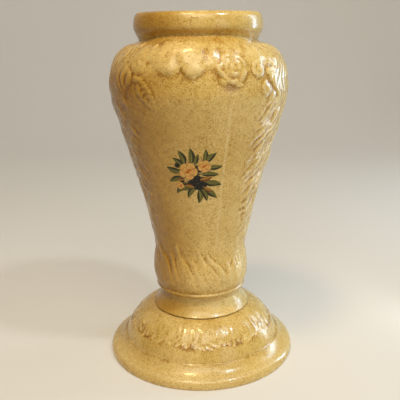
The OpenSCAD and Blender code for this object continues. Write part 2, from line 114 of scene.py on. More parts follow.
def curve(start, end, pulls, count=48):
    """Points on a cubic from one (radius, height, heading) to the next, without its last point."""
    p, q = np.array(start[:2], float), np.array(end[:2], float)
    reach = np.hypot(*(q - p))
    c = p + pulls[0] * reach * direction(start[2])
    d = q - pulls[1] * reach * direction(end[2])
    t = np.linspace(0, 1, count + 1)[:-1, None]
    s = 1 - t
    return s ** 3 * p + 3 * s * s * t * c + 3 * s * t * t * d + t ** 3 * q


def arc_length(points):
    """Length along an outline, at each of its points."""
    return np.concatenate([[0], np.cumsum(np.hypot(*np.diff(points, axis=0).T))])


def at_arc(arcs, outline, lengths):
    """Points of an outline at some lengths along it."""
    return np.stack([np.interp(arcs, lengths, outline[:, i]) for i in (0, 1)], axis=-1)


def normal_at(arcs, outline, lengths):
    """Outward normals of an outline at some lengths along it."""
    step = 0.5
    along = at_arc(arcs + step, outline, lengths) - at_arc(arcs - step, outline, lengths)
    along /= np.hypot(along[..., 0], along[..., 1])[..., None]
    return np.stack([along[..., 1], -along[..., 0]], axis=-1)


def spaced(points, spacing, close_ends=0.35):
    """Rows along an outline, about a spacing apart, with one close to each end to hold the edge crisp."""
    points = np.asarray(points, float)
    lengths = arc_length(points)
    total = lengths[-1]
    arcs = np.linspace(0, total, max(2, round(total / spacing) + 1))
    if close_ends and total > 3 * close_ends:
        arcs = np.unique(np.concatenate([arcs, [close_ends, total - close_ends]]))
    return at_arc(arcs, points, lengths)


def swept(start, end, pulls, spacing):
    """Rows along a curve, about a spacing apart."""
    return spaced(curve(start, end, pulls), spacing)


def between(stops, place):
    """Value at a place, between stops of (place, value)."""
    return np.interp(place, *np.array(stops, float).T)


def graded(stops):
    """Arc lengths whose spacing changes from stop to stop: (arc, spacing) pairs."""
    arcs = [stops[0][0]]
    while arcs[-1] < stops[-1][0]:
        arcs.append(arcs[-1] + between(stops, arcs[-1]))
    return np.array(arcs) * stops[-1][0] / arcs[-1]


# The ornamented outside of the vase, from the bead up to the crease under the lip
OUTLINE = np.concatenate([
    curve((BEAD_R - BEAD_T / 3, BEAD_Z + BEAD_T / 2, 68), (BULB_R, BULB_Z, UP), (0.38, 0.38)),
    curve((BULB_R, BULB_Z, UP), (WAIST_R, WAIST_Z, UP), (0.38, 0.38)),
    curve((WAIST_R, WAIST_Z, 86), (SHOULDER_R, SHOULDER_Z, UP), (0.32, 0.12), 160),
    curve((SHOULDER_R, SHOULDER_Z, UP), (THROAT_R, THROAT_Z, 143), (0.72, 0.20), 120),
    [[THROAT_R, THROAT_Z]]])
ARC = arc_length(OUTLINE)
ARC_BULB, ARC_WAIST, ARC_SHOULDER = np.interp((BULB_Z, WAIST_Z, SHOULDER_Z), OUTLINE[:, 1], ARC)
ARC_THROAT = ARC[-1]
# The ornamented dome of the pedestal, from the crown down to the crease above the flange
DOME = np.concatenate([
    curve((CREASE_R - CREASE_STEP, CREASE_H, 108), (CROWN_R, CROWN_H, 163), (0.30, 0.38), 90),
    [[CROWN_R, CROWN_H]]])[::-1]
ARC_DOME = arc_length(DOME)[-1]


# Relief, as heights in millimetres over the plain outline, on a grid of (degrees, arc length, radius)

def ease(low, high, x):
    """A smooth step from 0 at low to 1 at high, which may be the smaller of the two."""
    t = np.clip((x - low) / (high - low), 0, 1)
    return t * t * (3 - 2 * t)


def cosine(x):
    """A wave with a crest at every whole number."""
    return np.cos(2 * np.pi * x)


def chance(number, seed):
    """A steady random share from 0 to 1 for each whole number."""
    mixed = np.sin(np.floor(number) * 12.9898 + seed * 78.233) * 43758.5453
    return mixed - np.floor(mixed)


def saw(x, lean):
    """A ridge that climbs slowly and drops fast, once for every whole number."""
    f = x - np.floor(x)
    return np.where(f < lean, f / lean, (1 - f) / (1 - lean))


def tongues(phase, inward, taper):
    """Rounded tongues, one for every whole number of the phase, that end in points at an edge."""
    off = np.abs(phase - np.floor(phase) - 0.5)
    half = 0.5 * np.clip(inward / taper, 0, 1) ** 0.6 + TINY
    return np.clip(1 - (off / half) ** 2, 0, 1) ** 0.6


def folded(turn):
    """Angle in the front half turn: the mould's two halves carry the same ornament."""
    return (turn + 90) % 180 - 90


def below(turn, drop):
    """A place on the vase, from degrees round and millimetres below the crease under the lip."""
    return turn, ARC_THROAT - drop


def local(grid, place, heading):
    """Millimetres along and across a heading, from a place on the surface."""
    turn, arc, radius = grid
    dx = np.radians(folded(turn - place[0])) * radius
    dy = arc - place[1]
    c, s = direction(heading)
    return dx * c + dy * s, dy * c - dx * s


def laid(ground, inside, height):
    """An ornament laid over the ground, where it is inside its own edge and the higher of the two."""
    return np.where(inside, np.maximum(ground, height), ground)


def leaf(ground, grid, place, heading, length, width, rise, bend, level):
    """A raised leaf with a midrib groove and slanting veins."""
    groove, veins = 0.45, 5
    along, across = local(grid, place, heading)
    u = along / length
    inside = (u > 0) & (u < 1)
    u = np.clip(u, 0, 1)
    v = across - bend * length * u * u
    half = 0.5 * width * np.sin(np.pi * u ** 0.75) ** 0.85 + TINY
    e = np.abs(v) / half
    body = np.sqrt(np.clip(1 - e ** 2.6, 0, 1))
    shape = body * (0.55 + 0.45 * np.sin(np.pi * np.clip(u * 1.05, 0, 1)))
    shape = shape - groove * np.exp(-(v / 0.8) ** 2) * (1 - u) * body
    shape = shape + 0.10 * body * cosine(veins * u - 1.3 * e)
    return laid(ground, inside & (e < 1), level + rise * shape)


def curls(ground, grid, place, arcs, level):
    """Curled petal edges: ridges along parts of circles, each fading out towards its ends."""
    along, across = local(grid, place, 0)
    field = ground
    for x, y, radius, start, end, width, rise in arcs:
        dx, dy = along - x, (across - y) * CURL_SQUEEZE
        angle = np.degrees(np.arctan2(dy, dx))
        middle, half = 0.5 * (start + end), 0.5 * (end - start)
        off = np.abs((angle - middle + 180) % 360 - 180)
        waver = radius * (1 + 0.09 * np.cos(np.radians(4 * angle + 50 * x)))
        ridge = np.exp(-((np.hypot(dx, dy) - waver) / width) ** 2) * ease(half, 0.45 * half, off)
        field = laid(field, ridge > 0.03, level + rise * ridge)
    return field


def cushion(ground, grid, place, radius, rise, level):
    """A low rounded swelling that petals stand on."""
    along, across = local(grid, place, 0)
    d = np.hypot(along, across * CURL_SQUEEZE) / radius
    return laid(ground, d < 1, level + rise * np.sqrt(np.clip(1 - d * d, 0, 1)))


def scroll(ground, grid, place, radius, laps, start, hand, rise, level):
    """A rolled tendril: a spiral ridge that tightens to a bead."""
    width = 1.6
    along, across = local(grid, place, 0)
    d = np.hypot(along, across)
    angle = (hand * np.arctan2(across, along) - math.radians(start)) / (2 * np.pi)
    best = np.exp(-(d / (0.28 * radius)) ** 2)
    for lap in range(math.ceil(laps) + 1):
        wound = np.mod(angle, 1) + lap
        track = radius * (1 - wound / (laps + 0.35))
        thick = width * (0.5 + 0.6 * (1 - wound / laps))
        best = np.maximum(best, np.where(wound <= laps, np.exp(-((d - track) / thick) ** 2), 0))
    return laid(ground, best > 0.04, level + rise * best)


def waves(turn, arc, size, seed, stretch=1):
    """Unevenness of about -1 to 1, of a size in millimetres and longer along the outline by the stretch."""
    count, mean_r, strength = 12, 75, 3.5
    random = np.random.default_rng(seed)
    total = 0
    for _ in range(count):
        heading, phase = random.uniform(0, 2 * np.pi, 2)
        pitch = 2 * np.pi / (size * random.uniform(0.8, 1.5))
        around = round(pitch * math.cos(heading) * mean_r)
        total = total + np.cos(np.radians(turn) * around + pitch * math.sin(heading) * arc / stretch + phase)
    return total / strength


# Hem of the mantle as (degrees from the middle of the front, drop below the crease, rise over the panel)
HEM = [
    (-90, 40, 0.6), (-60, 40, 0.6), (-48, 42, 0.5), (-40, 44, 0.5), (-32, 42, 0.4), (-27, 41, 0.6),
    (-24, 43.5, 1.1), (-20, 46.5, 1.4), (-16, 47.5, 1.4), (-12.5, 44.5, 1.2), (-10.5, 41, 1.1), (-8, 46, 1.4),
    (-5.5, 49.5, 1.7), (-2.5, 50, 1.8), (0.5, 47.5, 1.6), (3.5, 42.5, 1.1), (8, 41, 0.8), (13, 45, 0.6),
    (20, 51, 0.4), (28, 47, 0.4), (34, 43, 0.4), (40, 44, 0.5), (52, 41, 0.6), (90, 40, 0.6)]
# Swellings as (degrees, drop, half width, half height, heading, rise)
SWELLINGS = [
    (-3.5, 42, 9.5, 9, 0, 0.6), (-17.5, 39, 13, 7.5, -30, 0.6), (-9, 27, 20, 10, -6, 0.2),
    (-27, 30, 13, 8, -40, 0.35)]
# Leaves on the mantle as (degrees, drop, heading, length, width, rise, bend)
MANTLE_LEAVES = [
    (-20, 27, -38, 24, 9, 0.7, 0.15), (-31, 15, -95, 20, 6, 0.8, -0.2), (-24, 12, -60, 18, 7, 0.6, 0.2),
    (34, 16, -75, 24, 6, 0.9, 0.2), (42, 18, -80, 20, 6, 0.8, -0.2)]
# Curled edges as (across, up, radius, start, end, width, rise), on an ellipse that is squeezed by a share
CURL_SQUEEZE = 0.95
ROSE_PLACE = (20.5, 40.5)
ROSE_CURLS = [
    (-2.8, 5.2, 6, 45, 195, 1.4, 1.6), (-7.4, -0.6, 6.2, 100, 290, 1.3, 2.6),
    (-1.4, -6.2, 6.2, 185, 345, 1.3, 2.4), (6.4, -4.4, 5.6, -100, 40, 1.4, 1.5),
    (6.6, 3.6, 5.6, -35, 110, 1.4, 1.7), (-2.6, 2, 4, 50, 215, 1.2, 2.2),
    (2.2, -1.6, 4.2, 175, 345, 1.2, 2.7), (4.6, 2.6, 3, -80, 100, 1.1, 2.2),
    (-0.2, 1.4, 1.4, 0, 350, 1.1, 2.1), (3, -12, 3.6, -120, 40, 1.2, 0.5),
    (-8, -9.5, 3.6, 160, 290, 1.2, 0.5)]
ROSETTE_PLACE = (-40.5, 35)
ROSETTE_CURLS = [
    (0, 0, 8.2, -10, 220, 1.8, 1.4), (-0.8, -0.6, 3.4, -70, 175, 1.6, 1.6), (4, -9.5, 7, 195, 310, 1.6, 1.1)]
# Scrolls as (degrees, drop, radius, laps, start, hand, rise)
SCROLLS = [
    (39, 42, 7.8, 1.5, 60, 1, 1.5), (50, 49, 6.5, 1.4, 200, -1, 1.4), (45, 62, 6, 1.4, 100, 1, 1.2),
    (57, 34, 7.5, 1.5, 30, 1, 1.2), (-56, 34, 7, 1.4, 10, 1, 0.9), (70, 60, 6.5, 1.5, 30, 1, 1)]


def mantle(grid):
    """The swelling over the shoulder, with a scalloped hem and soft folds that fan out from the neck."""
    turn, arc, _ = grid
    drop = ARC_THROAT - arc
    at, hem, rise_at = np.array(HEM, float).T
    depth = np.interp(folded(turn), at, hem) - drop
    body = np.interp(folded(turn), at, rise_at) * ease(-1.5, 5.5, depth)
    body = body + 0.6 * ease(0, 16, depth) * ease(12, 32, drop)
    for at, down, half_wide, half_high, heading, rise in SWELLINGS:
        along, across = local(grid, below(at, down), heading)
        away = np.hypot(along / half_wide, across / half_high)
        body = body + rise * np.exp(-(away / 0.8) ** 3) * ease(-1.5, 3, depth)
    folds = waves(turn, arc, 8, 3, 3.4) * ease(12, 26, drop)
    soft = waves(turn, arc, 22, 5) * ease(10, 24, drop)
    return (body + (0.20 * folds + 0.25 * soft) * ease(0, 6, depth)) * ease(2, 20, drop)


def shoulder_relief(grid):
    """Mantle with lobes, a rose, a rosette, scrolls and leaves over it."""
    field = mantle(grid)
    for at, down, *shape in MANTLE_LEAVES:
        field = leaf(field, grid, below(at, down), *shape, level=0.8)
    rose, rosette = below(*ROSE_PLACE), below(*ROSETTE_PLACE)
    field = cushion(field, grid, rose, radius=15.5, rise=1.1, level=0.3)
    for heading, bend in ((-50, 0.2), (-150, -0.2)):
        place = (rose[0] + 1, rose[1] - 10)
        field = leaf(field, grid, place, heading, length=12, width=6, rise=0.9, bend=bend, level=0.2)
    field = curls(field, grid, rose, ROSE_CURLS, level=0.7)
    field = cushion(field, grid, rosette, radius=10, rise=0.6, level=0.6)
    field = curls(field, grid, rosette, ROSETTE_CURLS, level=0.5)
    for at, down, *shape in SCROLLS:
        field = scroll(field, grid, below(at, down), *shape, level=0.5)
    return field


# The spray's root is given as (degrees, drop)
SPRAY_ROOT, SPRAY_HEADING = (-39, 53), -52
SPRAY_LENGTH, SPRAY_WIDTH, SPRAY_RISE = 38, 16, 1.6


def spray_relief(field, grid):
    """A fern-like spray that hangs from the rosette towards the panel: rim, midrib and slanting veins."""
    along, across = local(grid, below(*SPRAY_ROOT), SPRAY_HEADING)
    u = along / SPRAY_LENGTH
    inside = (u > 0) & (u < 1)
    u = np.clip(u, 0, 1)
    notch = 0.80 + 0.20 * np.abs(np.cos(np.pi * 4.5 * u))
    e = np.abs(across) / (0.5 * SPRAY_WIDTH * np.sin(np.pi * u ** 0.65) ** 0.8 * notch + TINY)
    veins = 0.5 + 0.5 * cosine(6.5 * u - 1.2 * e)
    rim = np.exp(-((e - 0.82) / 0.16) ** 2)
    rib = np.exp(-(across / 1.2) ** 2)
    shape = 0.1 + 0.75 * rim * (0.55 + 0.45 * veins) - 0.25 * rib + 0.50 * veins * ease(1.1, 0.5, e)
    return laid(field, inside & (e < 1.1), SPRAY_RISE * shape * ease(1.1, 0.9, e))


# Front edge of the left and right plumes as (arc above the waist, degrees from the front)
LEFT_EDGE = [(0, 62), (40, 57), (80, 49), (120, 44.5), (200, 43)]
RIGHT_EDGE = [(0, 58), (25, 52), (60, 40), (90, 38), (145, 39), (175, 42), (200, 46)]
PLUME_RISE, BARB_RISE = 0.7, 1.5
BARB_PITCH, BARB_TAPER = 13, 20
# Barbs from coarse to fine as (share of the pitch, share of the taper, share of the rise, seed)
BARBS = [(1, 1, 1.05, 1), (0.6, 0.7, 0.8, 2), (0.35, 0.4, 0.35, 3)]
STRAND_PITCH = 4.6


def plume(grid):
    """Barbs that fall from the spine at the side towards the front, like pointed feather strokes."""
    turn, arc, radius = grid
    t = folded(turn)
    away, above = np.abs(t), arc - ARC_WAIST
    from_spine = np.radians(90 - away) * radius
    steep = np.where(t > 0, 0.58, 1.05)
    wobble = 0.35 * waves(turn, arc, 44, 11)
    edge = np.where(t > 0, between(RIGHT_EDGE, above), between(LEFT_EDGE, above))
    inward = (away - edge) * np.radians(1) * radius
    ground = PLUME_RISE * ease(4, 14, inward)
    uneven = np.clip(0.85 + 0.5 * waves(turn, arc, 16, 17, 1.6), 0.35, 1.2)
    falling = arc + steep * from_spine + 0.004 * from_spine ** 2
    field = ground
    for pitch, taper, rise, seed in BARBS:
        phase = falling / (BARB_PITCH * pitch) + wobble + 0.3 * seed
        lag = 9 * (chance(phase, seed) - 0.35)
        tongue = tongues(phase, inward - lag, BARB_TAPER * taper)
        strength = (0.45 + 0.75 * chance(phase, seed + 5)) * np.where(t > 0, 1, 0.75) * uneven
        field = np.maximum(field, rise * strength * (ground + BARB_RISE * tongue))
    spine = 1.9 * np.exp(-(from_spine / 4.2) ** 2) + 0.4
    return np.maximum(field, spine * ease(0, 4, 12 - from_spine))


def strands(grid):
    """Wavy locks that run over the shoulder at the sides."""
    turn, arc, radius = grid
    t = folded(turn)
    sway = 4 * np.sin(arc / 19 + 0.6) + 1.8 * np.sin(arc / 8.3 + 0.07 * turn)
    sway = sway + 2.2 * waves(turn, arc, 34, 23)
    lean = -0.10 * np.sign(t) * (arc - ARC_SHOULDER)
    lock = (t + sway + lean) / STRAND_PITCH
    ridge = 0.5 + 0.5 * cosine(lock)
    fine = 0.5 + 0.5 * cosine(2 * lock + 0.4 * waves(turn, arc, 20, 27))
    patchy = 0.75 + 0.5 * waves(turn, arc, 15, 29, 1.8)
    edge = np.where(t > 0, 51, 47) + 4 * np.sin(arc / 6)
    inside = ease(-1, 4, (np.abs(t) - edge) * np.radians(1) * radius)
    return (0.8 + 1.1 * ridge * np.clip(patchy, 0.2, 1.2) + 0.3 * fine) * inside * np.where(t > 0, 1, 1.1)


def flank_relief(grid):
    """A plume down each side, under strands like locks of hair that come over the shoulder."""
    turn, arc, _ = grid
    lower, upper = ARC_WAIST + 2, ARC_THROAT - 6
    span = ease(lower, lower + 22, arc) * (1 - ease(upper - 10, upper + 5, arc))
    high = ease(ARC_SHOULDER - 24, ARC_SHOULDER - 4, arc + 8 * waves(turn, arc, 26, 31))
    return (plume(grid) * (1 - high) + strands(grid) * high) * span


# Rings of blades round the bulb as (count, tip above the bulb, scatter of the tips, taper, rise, seed)
BLADE_RINGS = [(27, 33, 22, 34, 1.7, 4), (37, 21, 20, 24, 1.6, 9), (64, 12, 16, 11, 1.3, 6)]
BLADE_LEAN = 0.38


def bulb_relief(grid):
    """Leaf blades sweep round the bulb, overlap with crisp edges and end in uneven tips about the waist."""
    turn, arc, _ = grid
    sweep = turn + BLADE_LEAN * (arc - 20) + 3 * waves(turn, arc, 50, 41)
    low = ease(2, 16, arc + 4 * waves(turn, arc, 26, 43))
    front = 0.70 + 0.30 * np.cos(np.radians(folded(turn) + 35))
    field = 0
    for count, rise_at, scatter, taper, rise, seed in BLADE_RINGS:
        phase = sweep * count / 360 + 0.2 * seed
        number = np.floor(phase) % count
        tip = ARC_BULB + rise_at + scatter * (chance(number, seed) - 0.5)
        tongue = tongues(phase, tip - arc, taper) ** 0.5 * (0.15 + 0.85 * saw(phase, 0.82))
        strength = 0.6 + 0.6 * chance(number, seed + 3)
        field = np.maximum(field, rise * strength * tongue * ease(0, 8, tip - arc))
    return field * low * front


# A thin run of glaze down the panel, painted paler as a highlight streak: degrees, half width, rise, top
# below the crease and foot above the waist
RUN_TURN, RUN_HALF, RUN_RISE, RUN_TOP, RUN_FOOT = 19, 1.4, 0.35, 66, 22


def run_and_painted_streak(grid):
    """How fully the run of glaze and its painted highlight streak stand at each point, from 0 to 1."""
    turn, arc, radius = grid
    across = np.radians(folded(turn - RUN_TURN)) * radius
    top = ARC_THROAT - RUN_TOP
    ends = ease(top, top - 20, arc) * ease(ARC_WAIST, ARC_WAIST + RUN_FOOT, arc)
    return np.exp(-(across / RUN_HALF) ** 2) * ends


def vase_relief(grid):
    """All the vase's ornament, faded out at the bead and at the crease so that the skin closes there."""
    field = spray_relief(shoulder_relief(grid), grid)
    field = np.maximum(field, flank_relief(grid))
    field = np.maximum(field, bulb_relief(grid)) + RUN_RISE * run_and_painted_streak(grid)
    arc = grid[1]
    return np.maximum(field, 0) * ease(0, 2.5, arc) * ease(0, 4, ARC_THROAT - arc)


# Rings of tufts on the dome as (count, hem above the crease, scatter of the tips, length, rise, seed)
TUFT_RINGS = [(46, 18, 4, 15, 1, 2), (33, 24, 7, 20, 1, 5), (96, 17.5, 5, 10, 1.5, 8)]
# Height of the dome's smooth band above the crease
BAND_H = 18


def dome_relief(grid):
    """Leaves that lie down the dome like a fringe, with raised tips over a smooth band."""
    turn, arc, _ = grid
    bent = turn + 2.5 * waves(turn, arc, 30, 61) + 0.12 * arc
    field = 0
    for count, hem_at, scatter, length, rise, seed in TUFT_RINGS:
        phase = bent * count / 360 + 0.3 * seed
        number = np.floor(phase) % count
        inward = ARC_DOME - hem_at - scatter * (chance(number, seed) - 0.5) - arc
        tongue = tongues(phase, inward, 0.45 * length) ** 1.8
        strength = 0.35 + 0.9 * chance(number, seed + 3)
        lift = ease(0, 1.6, inward) * ease(length, 1.6, inward)
        field = np.maximum(field, rise * strength * tongue * lift)
    inside = ease(0, 8, ARC_DOME - BAND_H - arc)
    fine, coarse = waves(turn, arc, 4.5, 64, 6), waves(turn, arc, 9, 65, 4)
    lines = 0.26 * (0.5 + 0.5 * fine) + 0.25 * (0.5 + 0.5 * coarse)
    return np.clip(field + lines * inside * ease(2, 16, arc), 0, None) * ease(1, 8, arc)


# Where glaze pools, and where shade and light are painted

# Times that the relief is blurred, and the share at which glaze neither pools nor thins
SOFTNESS, EVEN_POOL = 1, 0.5
# Pooling at creases and thinning over edges, as (height, share). On the vase, the low shares at the collar's
# foot and up the stem are painted light: they make these paler against the shade there
VASE_POOL_AND_LIGHT = [
    (SEAT_Z, 0.08), (SEAT_Z + 1.6, 0.30), (STEM_Z - 6, 0.24), (STEM_Z + 2, 0.32), (BEAD_Z - 1.6, 0.80),
    (BEAD_Z - 0.6, 0.30), (BEAD_Z + 1.2, 0.30), (BEAD_Z + 3, 0.70), (BEAD_Z + 9, 0.46), (BULB_Z, 0.44),
    (WAIST_Z, 0.50), (SHOULDER_Z, 0.50), (SHOULDER_Z + 20, 0.44), (THROAT_Z - 12, 0.46),
    (THROAT_Z - 1.5, 0.58), (THROAT_Z, 0.74), (THROAT_Z + 2, 0.52), (LIP_Z, 0.45), (LIP_Z + 8, 0.50),
    (TOP_Z - 2, 0.40)]
PEDESTAL_POOL = [
    (0, 0.30), (ARRIS_H - 2, 0.32), (ARRIS_H, 0.16), (ARRIS_H + 2, 0.32), (CREASE_H - 0.6, 0.42),
    (CREASE_H, 0.74), (CREASE_H + 1, 0.44), (CREASE_H + 6, 0.36), (CROWN_H - 2, 0.40), (CROWN_H, 0.55)]


# Places where the vase's glaze is stained as (degrees, drop, half width, half height, strength); the last two
# are painted shade that darkens the tops of the lobes
STAINS_AND_SHADE = [
    (18, 58, 6, 8, 0.22), (11, 45, 6, 7, 0.14), (20, 62, 15, 9, 0.13), (10, 52, 12, 6, 0.09),
    (34, 52, 11, 13, 0.10), (-34, 62, 15, 15, 0.15), (-26, 50, 16, 5, 0.10), (-29, 12, 12, 5, 0.24),
    (-27, 15, 3.5, 1.6, 0.40), (8, 11, 45, 9, 0.22), (-58, 60, 22, 30, 0.14), (60, 40, 18, 20, 0.06),
    (-50, 120, 12, 60, 0.10), (-8, 50, 5, 4, 0.20), (-24, 46, 6, 4, 0.18), (28, 28, 12, 8, 0.12),
    (8, 24, 9, 7, 0.10), (-1, 32, 14, 9, 0.12), (-16, 28, 12, 9, 0.14)]


def stain_and_painted_light(grid):
    """Extra depth of colour in the stained places of both halves, with painted shade among them, and less
    along the run of glaze, which paints it paler as a highlight streak.
    """
    turn, arc, radius = grid
    drop = ARC_THROAT - arc
    total = 0
    for at, down, half_wide, half_high, strength in STAINS_AND_SHADE:
        across = np.radians(folded(turn - at)) * radius / half_wide
        total = total + strength * np.exp(-across ** 2 - ((drop - down) / half_high) ** 2)
    # Painted highlight: the run is made paler than the glaze round it
    return total - 0.45 * run_and_painted_streak(grid)


# Places on the dome where the glaze is stained as (arc above the crease, half height, strength)
DOME_STAINS = [(18, 6, 0.30), (38, 14, 0.12)]


def dome_stain(grid):
    """Extra depth of colour in two patchy bands round the dome."""
    turn, arc, _ = grid
    above = ARC_DOME - arc
    patchy = np.clip(0.6 + waves(turn, above, 18, 67), 0, 1.5)
    return patchy * sum(share * np.exp(-((above - at) / half) ** 2) for at, half, share in DOME_STAINS)


def blurred(height, times):
    """Heights evened out with their neighbours, round the casting and along its outline."""
    for _ in range(times):
        height = (np.roll(height, 1, 1) + np.roll(height, -1, 1) + 2 * height) / 4
        padded = np.pad(height, ((1, 1), (0, 0)), mode="edge")
        height = (padded[:-2] + padded[2:] + 2 * height) / 4
    return height


def pooling_and_shade(height):
    """Pooled glaze from how far each point lies below its surroundings, near and wide; just under raised
    edges such as the hem and the dome's tufts the near part is painted shade.
    """
    near, wide = blurred(height, 4) - height, blurred(height, 40) - height
    return EVEN_POOL + 1.5 * near + 0.14 * wide


def left_shade_and_deep_glaze(points):
    """Share of painted shade on the left side, partly a deeper, more amber glaze there: full at the left and
    the front left, less round the neck.
    """
    x, y, z = points.T
    out = np.hypot(x, y) + TINY
    neck = ease(SHOULDER_Z + 12, SHOULDER_Z + 28, z) * ease(LIP_Z, THROAT_Z, z)
    return ease(-0.15, 0.75, -x / out) * ease(-0.6, -0.1, -y / out) * (1 - 0.7 * neck)


# Meshes

def smooth_mesh(name, points, faces, material, **layers):
    """A smooth mesh in the scene, with numbers or colours stored at its points."""
    mesh = bpy.data.meshes.new(name)
    mesh.from_pydata(np.array(points).tolist(), [], faces)
    mesh.update()
    mesh.shade_smooth()
    for label, values in layers.items():
        kind, field = ("FLOAT", "value") if values.ndim == 1 else ("FLOAT_COLOR", "color")
        layer = mesh.attributes.new(label, kind, "POINT")
        layer.data.foreach_set(field, values.astype(np.float32).ravel())
    mesh.materials.append(material)
    return linked(name, mesh)


# Columns round a casting: close together over the front half turn, wider behind, and one in four inside
FRONT_COLUMNS, BACK_COLUMNS, THIN_OUT = 220, 136, 4
FINE = FRONT_COLUMNS + BACK_COLUMNS
FINE_TURNS = between(
    [(0, 0), (FRONT_COLUMNS / 2, 90), (FINE - FRONT_COLUMNS / 2, 270), (FINE, 360)], np.arange(FINE))
COARSE_TURNS = FINE_TURNS[::THIN_OUT]


def ring(radius, height, turns):
    """Points at an angle counted from the front, which faces -Y, towards +X."""
    a = np.radians(turns)
    return np.stack([radius * np.sin(a), -radius * np.cos(a), np.broadcast_to(height, a.shape)], axis=1)


def bridge(a, b):
    """Faces between two rings of vertex numbers. Their counts may differ, and a ring of one is a pole."""
    if len(a) == len(b):
        return [list(face) for face in zip(a, a[1:] + a[:1], b[1:] + b[:1], b)]
    if len(a) < len(b):
        return [face[::-1] for face in bridge(b, a)]
    ratio = len(a) // len(b)
    faces = []
    for i, low in enumerate(b):
        high = b[(i + 1) % len(b)]
        for m in range(ratio):
            k = i * ratio + m
            p, q = a[k], a[(k + 1) % len(a)]
            faces.append([p, q, low if m < ratio // 2 else high])
            if m == ratio // 2 - 1 and low != high:
                faces.append([q, high, low])
    return faces


def climbed(points):
    """The crease under the lip climbs a little at the front and the back, where the mantle laps over it."""
    x, y, z = points.T
    out = np.hypot(x, y)
    facing = ease(0.45, 0.98, np.abs(y) / (out + TINY)) * (out > MOUTH_R + 2)
    near = np.where(z < THROAT_Z, ease(THROAT_Z - 26, THROAT_Z, z), ease(LIP_Z - 0.5, THROAT_Z, z))
    return np.stack([x, y, z + CREASE_CLIMB * facing * near], axis=1)


class Skin:
    """A casting's closed skin: rings of points from pole to pole, and how much glaze pools at each point, a
    share that also carries painted shade and light.
    """

    def __init__(self, stops):
        self.stops, self.rings, self.pool = stops, [], []

    def pole(self, height):
        """The point on the axis that closes the skin."""
        self.rings.append(ring(0, height, np.zeros(1)))
        self.pool.append(np.full(1, EVEN_POOL))

    def plain(self, turns, *stretches):
        """Round rings, one for each (radius, height) of the stretches of outline."""
        for radius, height in np.concatenate(stretches):
            self.rings.append(ring(radius, height, turns))
            self.pool.append(np.full(len(turns), between(self.stops, height)))

    def ornamented(self, arcs, outline, relief, stained):
        """Rings that the relief pushes out along the outline's normals."""
        lengths = arc_length(outline)
        (radius, height), normal = at_arc(arcs, outline, lengths).T, normal_at(arcs, outline, lengths)
        grid = (FINE_TURNS[None, :], arcs[:, None], radius[:, None])
        rise = blurred(relief(grid), SOFTNESS)
        # Pooling, stains and the painted shade and light that they carry add up to one share
        pool = pooling_and_shade(rise) + between(self.stops, height[:, None]) - EVEN_POOL + stained(grid)
        self.pool += list(np.clip(pool, 0, 1))
        for k in range(len(arcs)):
            self.rings.append(
                ring(radius[k] + normal[k, 0] * rise[k], height[k] + normal[k, 1] * rise[k], FINE_TURNS))

    def piece(self, name, material):
        """One mesh through all the rings."""
        ends = np.cumsum([len(points) for points in self.rings])
        numbers = [list(range(end - len(points), end)) for points, end in zip(self.rings, ends)]
        faces = [face for a, b in zip(numbers, numbers[1:]) for face in bridge(a, b)]
        points = np.concatenate(self.rings)
        # The left layer carries the painted shade of the left side
        layers = {"pool": np.concatenate(self.pool), "left": left_shade_and_deep_glaze(points)}
        return smooth_mesh(name, points * MM, faces, material, **layers)


